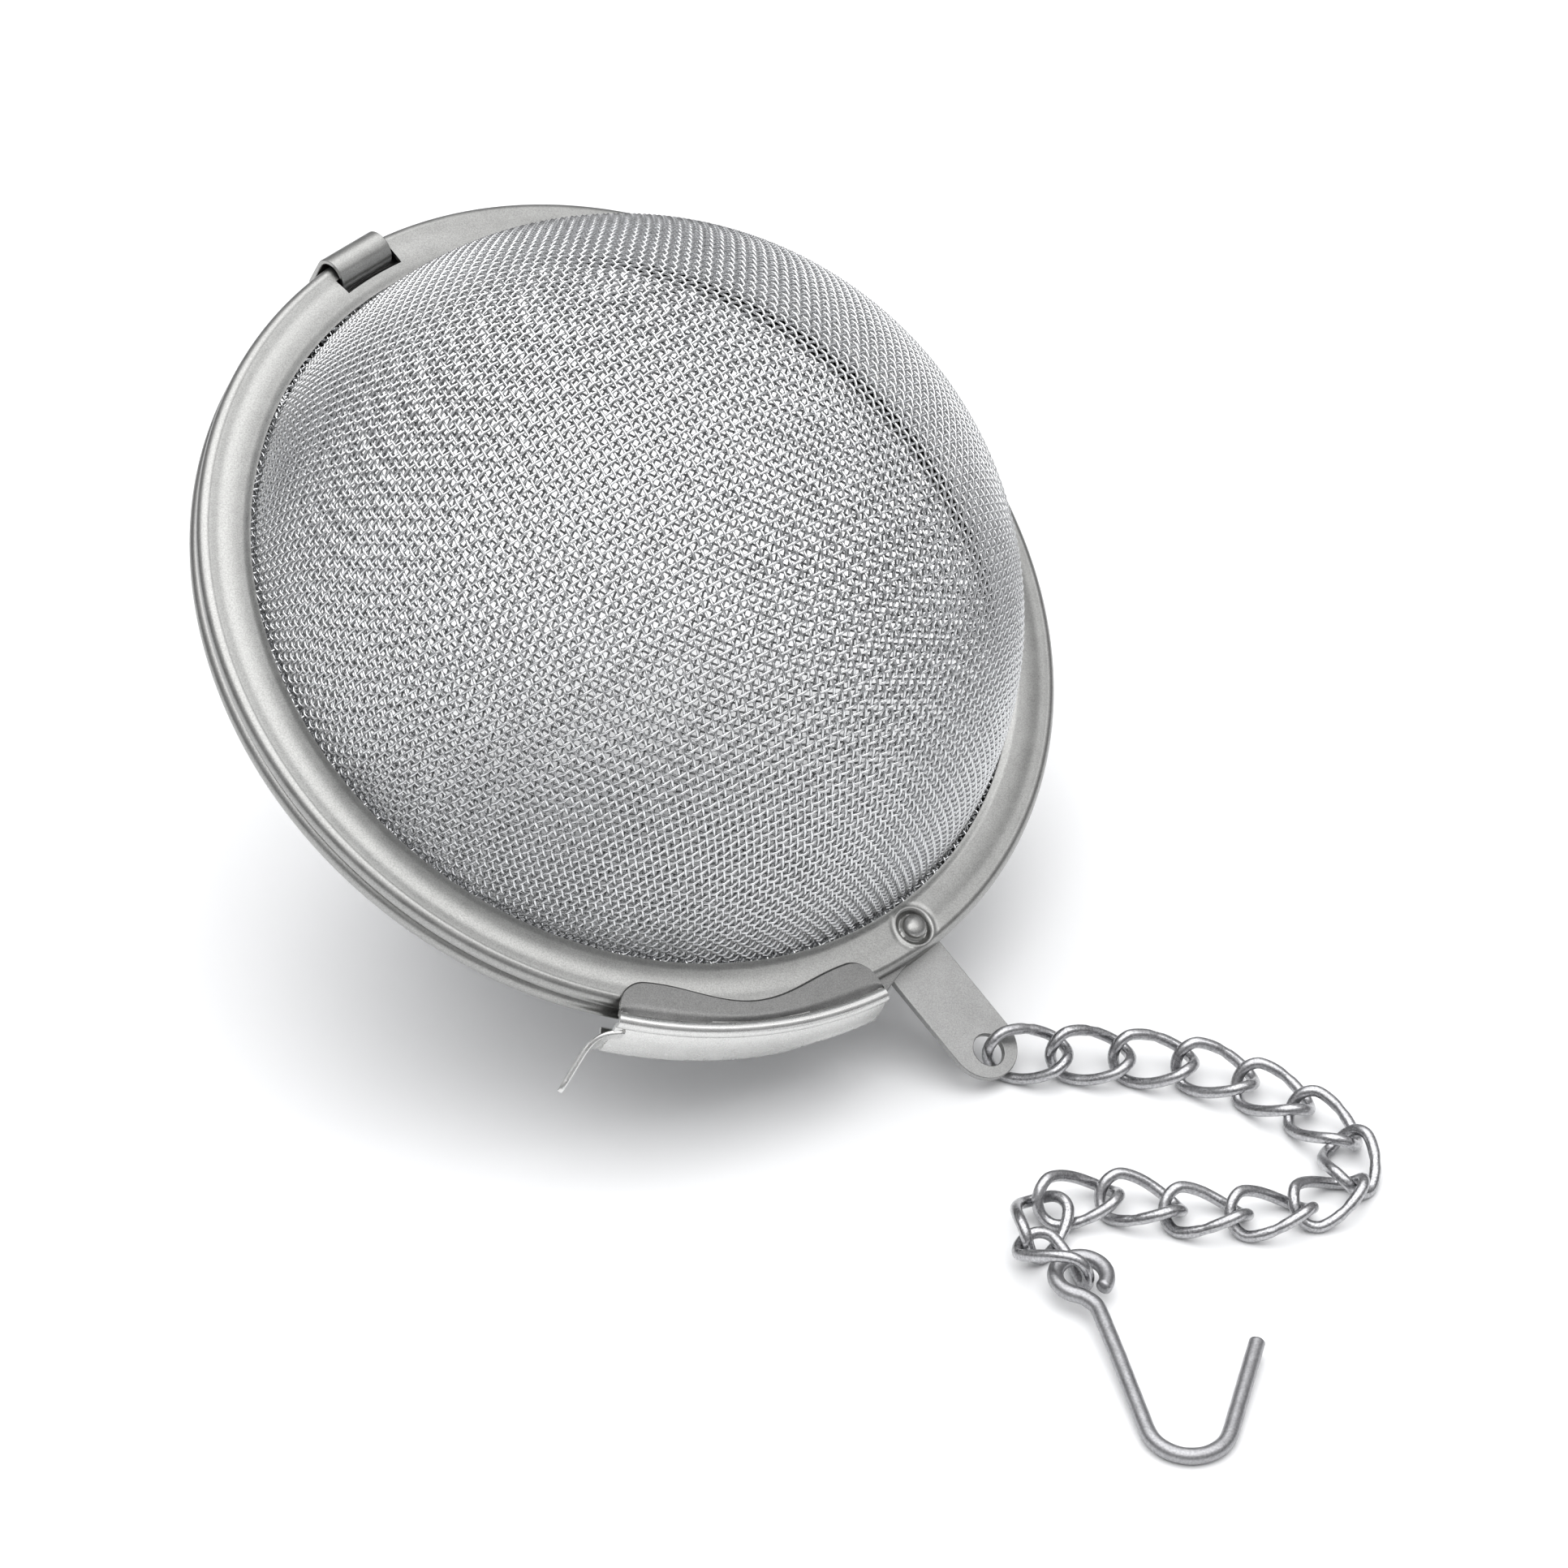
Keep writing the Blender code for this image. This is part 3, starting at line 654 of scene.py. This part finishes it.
def make_strap(ball, material):
    """The hinge strap: foot, wall and the curl that goes over the upper rim's bead into its slot."""
    outer = arc(STRAP_AXIS, STRAP_BEND_R + STRAP_T, STRAP_CURL, 0, 30)
    wall_r = STRAP_AXIS[0] + STRAP_BEND_R
    foot_r, foot_top = STRAP_FOOT
    foot_low = foot_top - STRAP_T
    turn = STRAP_OUTER_CORNER
    bend = arc((wall_r + STRAP_T - turn, foot_low + turn), turn, 0, -90, 6)
    turn = STRAP_INNER_CORNER
    inner_bend = arc((wall_r - turn, foot_top + turn), turn, -90, 0, 4)
    outline = outer + bend + [(foot_r, foot_low), (foot_r, foot_top)] + inner_bend
    outline += arc(STRAP_AXIS, STRAP_BEND_R, 0, STRAP_CURL, 30)
    ys = (-STRAP_W / 2, STRAP_W / 2)
    points, faces = lofted([[(-r, y, z) for r, z in outline] for y in ys])
    place = ball @ Matrix.Rotation(math.radians(HINGE_TURN), 4, "Z")
    obj = sheet_piece("hinge_strap_sheet", points, faces, material, "base", "hinge_strap", place)
    rounded(outward(obj), EDGE_BEVEL)


def turned(profile, sides):
    """Points and faces of a closed (radius, height) profile about Z, its ends on the axis."""
    angles = TAU * np.arange(sides) / sides
    rings = [[(r * math.cos(a), r * math.sin(a), z) for a in angles] for r, z in profile[1:-1]]
    points, faces = lofted(rings, capped=False)
    points = np.concatenate([points, [(0, 0, profile[0][1]), (0, 0, profile[-1][1])]])
    first = len(points) - 2
    last_row = (len(rings) - 1) * sides
    for k in range(sides):
        after = (k + 1) % sides
        faces.append([after, k, first])
        faces.append([last_row + k, last_row + after, first + 1])
    return points, faces


def rivet_head(top, radius, height):
    """Profile from the head's underside up to the edge of its crown."""
    rise = height * HEAD_CROWN
    side = [(radius, top - height), (radius, top - rise)]
    angles = np.radians((20, 45, 65, 80))
    crown = [(radius * math.cos(a), top - rise * (1 - math.sin(a))) for a in angles]
    return side + crown


def make_rivets(ball, material):
    shift = Matrix.Translation((RIVET_R, 0, 0))
    latch_place = ball @ Matrix.Rotation(math.radians(LATCH_RIVET_TURN), 4, "Z") @ shift
    profile = list(LATCH_PIN) + rivet_head(HEAD_TOP, HEAD_R, HEAD_HEIGHT) + [(0, HEAD_TOP)]
    points, faces = turned(profile, RIVET_SIDES)
    outward(sheet_piece("latch_rivet_pin", points, faces, material, "lid", "latch_rivet", latch_place))
    profile = list(TAB_PIN) + rivet_head(TAB_HEAD_TOP, TAB_HEAD_R, TAB_HEAD_HEIGHT) + [(0, TAB_HEAD_TOP)]
    points, faces = turned([(r, -z) for r, z in profile], RIVET_SIDES)
    outward(sheet_piece("tab_rivet_pin", points, faces, material, "base", "tab_rivet", ball @ shift))


def make_tab(ball, material):
    half = TAB_W / 2
    end = arc((TAB_TIP_R - half, 0), half, -90, 90, 28)
    outline = [(TAB_INNER_R, -half), (TAB_SHOULDER_R, -half)] + end
    outline += [(TAB_SHOULDER_R, half), (TAB_INNER_R, half)]
    shape = bmesh.new()
    edges = []
    for line in (outline, arc((TAB_HOLE_AT, 0), TAB_HOLE_R, 0, 360, 36)[:-1]):
        corners = [shape.verts.new((x, y, TAB_TOP)) for x, y in line]
        edges += [shape.edges.new((corners[i - 1], corners[i])) for i in range(len(corners))]
    bmesh.ops.triangle_fill(shape, edges=edges, use_beauty=True)
    made = bmesh.ops.extrude_face_region(shape, geom=shape.faces[:])
    moved = [item for item in made["geom"] if isinstance(item, bmesh.types.BMVert)]
    bmesh.ops.translate(shape, verts=moved, vec=(0, 0, -TAB_T))
    shape.verts.index_update()
    points = [tuple(v.co) for v in shape.verts]
    faces = [[v.index for v in f.verts] for f in shape.faces]
    shape.free()
    obj = sheet_piece("chain_tab_plate", points, faces, material, "base", "chain_tab", ball)
    rounded(outward(obj), EDGE_BEVEL)


# --- latch ------------------------------------------------------------------------------------------


def latch_line(angle):
    """The clip's middle line at an angle in degrees: wavy top edge, fold with a bead, wall and lip."""
    height, dip, length = LATCH_WAVE
    rise, span = LATCH_CORNER
    corner = 0
    for edge in (LATCH_NEAR, LATCH_FAR):
        near = max(1 - abs(angle - edge) / span, 0)
        corner += rise * (1 - math.sqrt(1 - near * near))
    top_r = LATCH_TOP[0] - height * math.cos(TAU * (angle + dip) / length) + corner
    fold_r, fall = LATCH_BEAD_START
    shares = np.linspace(0, 1, 12)
    line = [(top_r + (fold_r - top_r) * s, LATCH_TOP[1] - fall * float(eased(s, 0.7, 1))) for s in shares]
    line += arc(LATCH_BEAD_AT, LATCH_BEAD_R, 150, -20, 12)
    hooked = float(eased(-angle, *LIP_ANGLES))
    low = LATCH_LOW - LIP_DROP * hooked
    line += list(LATCH_WALL) + [(LATCH_FOOT_R, low + LIP_START)]
    turn_r = LATCH_FOOT_R - LATCH_FOOT_CORNER
    line += arc((turn_r, low + LATCH_FOOT_CORNER), LATCH_FOOT_CORNER, 0, -90, 4)[1:]
    lip_r = LATCH_FOOT_R - LIP_START + (LIP_R - LATCH_FOOT_R + LIP_START) * hooked
    line += [(turn_r + (lip_r - turn_r) * s, low) for s in (0.5, 1.0)]
    return np.array(line)


def rounded_outline(middle, thickness):
    """A sheet's outline round its middle line, with half-round ends."""
    one, two = offset_lines(middle, thickness)
    ends = []
    for at, toward in ((-1, middle[-1] - middle[-2]), (0, middle[0] - middle[1])):
        toward = toward / np.linalg.norm(toward) * thickness / 2
        ends.append(middle[at] + toward)
    return np.concatenate([one, ends[0][None], two[::-1], ends[1][None]])


def tongue_profile(low, top):
    """A section of the tongue, with rounded edges: (side in half thicknesses, height) pairs."""
    edge = LATCH_T / 2
    profile = [(1, low + edge * 0.6), (1, top - edge * 0.6), (0.5, top - edge * 0.1)]
    profile += [(-0.5, top - edge * 0.1), (-1, top - edge * 0.6), (-1, low + edge * 0.6)]
    return profile + [(-0.5, low + edge * 0.1), (0.5, low + edge * 0.1)]


def tongue_sections():
    """The thumb tongue: the wall runs on past the clip, curls outwards and falls away."""
    start = math.radians(LATCH_FAR + TONGUE_LAP)
    spot = np.array((TONGUE_R * math.cos(start), TONGUE_R * math.sin(start), 0))
    heading = math.radians(LATCH_FAR) - math.pi / 2
    up = np.array((0, 0, 1.0))
    sections = []
    for share in np.linspace(0, 1, TONGUE_STEPS + 1):
        turn = heading + TONGUE_CURL * float(eased(share, 0, TONGUE_BEND_END))
        out = np.array((math.sin(turn), -math.cos(turn), 0)) * (LATCH_T / 2)
        top = TONGUE_TOP - TONGUE_FALL * share
        low = TONGUE_LOW - TONGUE_DROOP * share**2
        point = max((share - TONGUE_POINT) / (1 - TONGUE_POINT), 0)
        close = 0.8 * (1 - math.sqrt(1 - 0.96 * point**2))
        middle = (top + low) / 2
        top += (middle - top) * close
        low += (middle - low) * close
        sections.append([spot + out * side + up * z for side, z in tongue_profile(low, top)])
        spot = spot + np.array((math.cos(turn), math.sin(turn), 0)) * TONGUE_LENGTH / TONGUE_STEPS
    return sections


def make_latch(ball, material, wall):
    """The latch: clip, the arm under the flange that ends round the rivet, and the thumb tongue. The clip's
    wall and the tongue take a lighter steel as painted light; its top and the arm take a darker one as
    painted shade.
    """
    sections = []
    for angle in np.linspace(LATCH_NEAR, LATCH_FAR, LATCH_STEPS):
        outline = rounded_outline(latch_line(angle), LATCH_T)
        a = math.radians(angle)
        sections.append([(r * math.cos(a), r * math.sin(a), z) for r, z in outline])
    points, faces = lofted(sections)
    obj = sheet_piece("latch_clip", points, faces, material, "latch", "latch", ball)
    obj.data.materials.append(wall)
    # Faces below the fold take the lighter steel as painted light; those above keep the darker one as
    # painted shade.
    for face, corners in zip(obj.data.polygons, faces):
        middle = np.mean([points[corner] for corner in corners], axis=0)
        painted_light_below_fold = math.hypot(middle[0], middle[1]) > LATCH_FOLD_R or middle[2] < LATCH_FOLD_Z
        face.material_index = int(painted_light_below_fold)
    outward(obj)

    ear = arc((RIVET_R, 0), ARM_EAR_R, 60, 300, 24)
    arm = ear + [(ARM_R * math.cos(a), ARM_R * math.sin(a)) for a in np.radians(ARM_ANGLES)]
    points, faces = lofted([[(x, y, z) for x, y in arm] for z in ARM_HEIGHTS])
    obj = sheet_piece("latch_arm", points, faces, material, "latch", "latch", ball)
    rounded(outward(obj), ARM_BEVEL)

    points, faces = lofted(tongue_sections())
    outward(sheet_piece("latch_tongue", points, faces, wall, "latch", "latch", ball))


# --- chain and hook ---------------------------------------------------------------------------------


def link_shape():
    """One link along X from where it hangs on the link before it, with the wire's butt joint."""
    angle = TAU * (np.arange(LINK_POINTS) + 0.5) / LINK_POINTS
    ease = np.copysign(np.minimum(abs(np.cos(angle)) * LINK_STRAIGHT, 1), np.cos(angle))
    x = (LINK_HALF_LENGTH - LINK_HALF_WIDTH) * ease + LINK_HALF_WIDTH * np.cos(angle)
    width = LINK_HALF_WIDTH * np.sin(angle)
    twist = LINK_TWIST * x / LINK_HALF_LENGTH
    path = np.stack([LINK_PITCH / 2 + x, width * np.cos(twist), width * np.sin(twist)], 1)
    for _ in range(LINK_SOFTENING):
        path = (np.roll(path, 1, 0) + 2 * path + np.roll(path, -1, 0)) / 4
    from_joint = abs((angle - math.pi / 2 + math.pi) % TAU - math.pi)
    pinch, span = BUTT_JOINT
    radius = CHAIN_WIRE_R * (1 - raised(from_joint, (pinch, 0, span)))
    return tube(path, radius, CHAIN_WIRE_SIDES, ring=True)


def make_chain(frame, material):
    """The chain's links, each from its own joint to the next; returns the last joint's place."""
    joints = {joint["name"]: Vector(joint["pos_m"]) for joint in frame["joints"]}
    count = len(LINK_ROLLS)
    ends = [joints[f"link_{k + 1:02d}_swing"] for k in range(count)] + [joints["hook_swing"]]
    points, faces = link_shape()
    for k in range(count):
        along = (ends[k + 1] - ends[k]).normalized()
        across = Vector((0, 0, 1)).cross(along).normalized()
        turn = Matrix((along, across, along.cross(across))).transposed().to_4x4()
        roll = Matrix.Rotation(math.radians(LINK_ROLLS[k]), 4, "X")
        matrix = Matrix.Translation(ends[k]) @ turn @ roll @ Matrix.Scale(MM, 4)
        number = f"{k + 1:02d}"
        node = f"chain_link_{number}"
        name = f"link_wire_{number}"
        piece(name, points, faces, material, f"link_{number}", [node], matrix, 0)
    return ends[-1]


def hook_line():
    """The hook's centre line: eye round the origin, shank along +X, bend and tip."""
    line = [(EYE_R * math.cos(a), EYE_R * math.sin(a)) for a in np.radians(np.linspace(*EYE_ANGLES, 60))]
    line += [(EYE_R + EYE_NECK, SHANK_OFFSET * 0.8), (HOOK_REACH / 2, SHANK_OFFSET)]
    centre = (HOOK_REACH, SHANK_OFFSET + HOOK_BEND_R)
    bend = arc(centre, HOOK_BEND_R, -90, -90 + math.degrees(HOOK_BEND), 40)
    tip = (bend[-1][0] + math.cos(HOOK_BEND) * HOOK_TIP, bend[-1][1] + math.sin(HOOK_BEND) * HOOK_TIP)
    flat = resampled(line + bend + [tip], HOOK_SPACING)
    flat = softened(flat, HOOK_SOFTENING)
    return np.column_stack([flat, np.zeros(len(flat))])


def make_hook(eye, material):
    """The cup hook, its eye lifted onto the last link and its bend on the floor."""
    line = hook_line()
    radius = np.full(len(line), HOOK_WIRE_R)
    radius[:2] *= CUT_START
    radius[-2:] *= CUT_END[::-1]
    ripple, waves = DRAWN_RIPPLE
    radius *= 1 + ripple * np.sin(np.linspace(0, 1, len(line)) * waves)
    dip = math.asin((EYE_HEIGHT - HOOK_WIRE_R) / (HOOK_REACH + HOOK_BEND_R))
    turn = Matrix.Rotation(HOOK_HEADING, 4, "Z") @ Matrix.Rotation(dip, 4, "Y")
    place = Matrix.Translation((eye.x, eye.y, EYE_HEIGHT * MM))
    points, faces = tube(line, radius, HOOK_WIRE_SIDES)
    matrix = place @ turn @ Matrix.Scale(MM, 4)
    piece("cup_hook_wire", points, faces, material, "hook", ["cup_hook"], matrix, 60)


# --- floor, lights and camera -----------------------------------------------------------------------


def make_floor():
    mesh = bpy.data.meshes.new("floor")
    corners = [(x * FLOOR_SIZE, y * FLOOR_SIZE, 0) for x, y in ((-1, -1), (1, -1), (1, 1), (-1, 1))]
    mesh.from_pydata(corners, [], [(0, 1, 2, 3)])
    material = bpy.data.materials.new("white_table")
    material.use_nodes = True
    shader = material.node_tree.nodes["Principled BSDF"]
    shader.inputs["Base Color"].default_value = (0.95, 0.955, 0.96, 1)
    shader.inputs["Roughness"].default_value = 0.35
    shader.inputs["Specular IOR Level"].default_value = 0.25
    mesh.materials.append(material)
    floor = bpy.data.objects.new("floor", mesh)
    bpy.context.scene.collection.objects.link(floor)


def area_light(name, at, size, power):
    light = bpy.data.lights.new(name, "AREA")
    light.shape = "RECTANGLE"
    light.size, light.size_y = size
    light.energy = power
    obj = bpy.data.objects.new(name, light)
    obj.location = at
    obj.rotation_euler = (Vector(AIM) - Vector(at)).to_track_quat("-Z", "Y").to_euler()
    bpy.context.scene.collection.objects.link(obj)


def make_lights():
    """A sky that is brighter overhead, one large soft light and a small one for a glint."""
    world = bpy.data.worlds.new("studio")
    bpy.context.scene.world = world
    world.use_nodes = True
    nodes = world.node_tree.nodes
    links = world.node_tree.links
    place = nodes.new("ShaderNodeTexCoord")
    split = nodes.new("ShaderNodeSeparateXYZ")
    ramp = nodes.new("ShaderNodeValToRGB")
    stops = ramp.color_ramp.elements
    low, middle, high = SKY
    stops[0].position, stops[0].color = low
    stops[1].position, stops[1].color = high
    stops.new(middle[0]).color = middle[1]
    links.new(place.outputs["Generated"], split.inputs["Vector"])
    links.new(split.outputs["Z"], ramp.inputs["Fac"])
    links.new(ramp.outputs["Color"], nodes["Background"].inputs["Color"])
    nodes["Background"].inputs["Strength"].default_value = SKY_STRENGTH
    area_light("overhead", (-0.08, -0.05, 0.9), (1.5, 1.3), 8.0)
    area_light("glare", (0.55, -0.10, 0.60), (0.12, 0.12), 0.16)


def make_camera():
    """A long lens looking down at the part from the front."""
    camera = bpy.data.cameras.new("camera")
    camera.lens = CAMERA_LENS
    camera.sensor_width = 36
    camera.clip_start = 0.01
    camera.clip_end = 10
    obj = bpy.data.objects.new("camera", camera)
    obj.location = Vector(CAMERA_AT) * MM
    obj.rotation_euler = (math.radians(CAMERA_TILT), 0, 0)
    bpy.context.scene.collection.objects.link(obj)
    bpy.context.scene.camera = obj


for old in list(bpy.data.objects):
    bpy.data.objects.remove(old, do_unlink=True)
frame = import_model()
ball = ball_matrix(frame)
looks = make_materials()
make_camera()
make_floor()
make_lights()
rim_piece("upper_rim_sheet", "upper_rim", "lid", looks["rim"], looks["inside"], ball, True)
rim_piece("lower_rim_sheet", "lower_rim", "base", looks["rim"], looks["inside"], ball, False)
make_domes(ball, looks["mesh"], looks["painted_shade_mesh"])
make_strap(ball, looks["rim"])
make_rivets(ball, looks["rim"])
make_tab(ball, looks["tab"])
make_latch(ball, looks["latch"], looks["wall"])
last_joint = make_chain(frame, looks["chain"])
make_hook(last_joint, looks["hook"])
bpy.context.scene.view_settings.view_transform = "Standard"
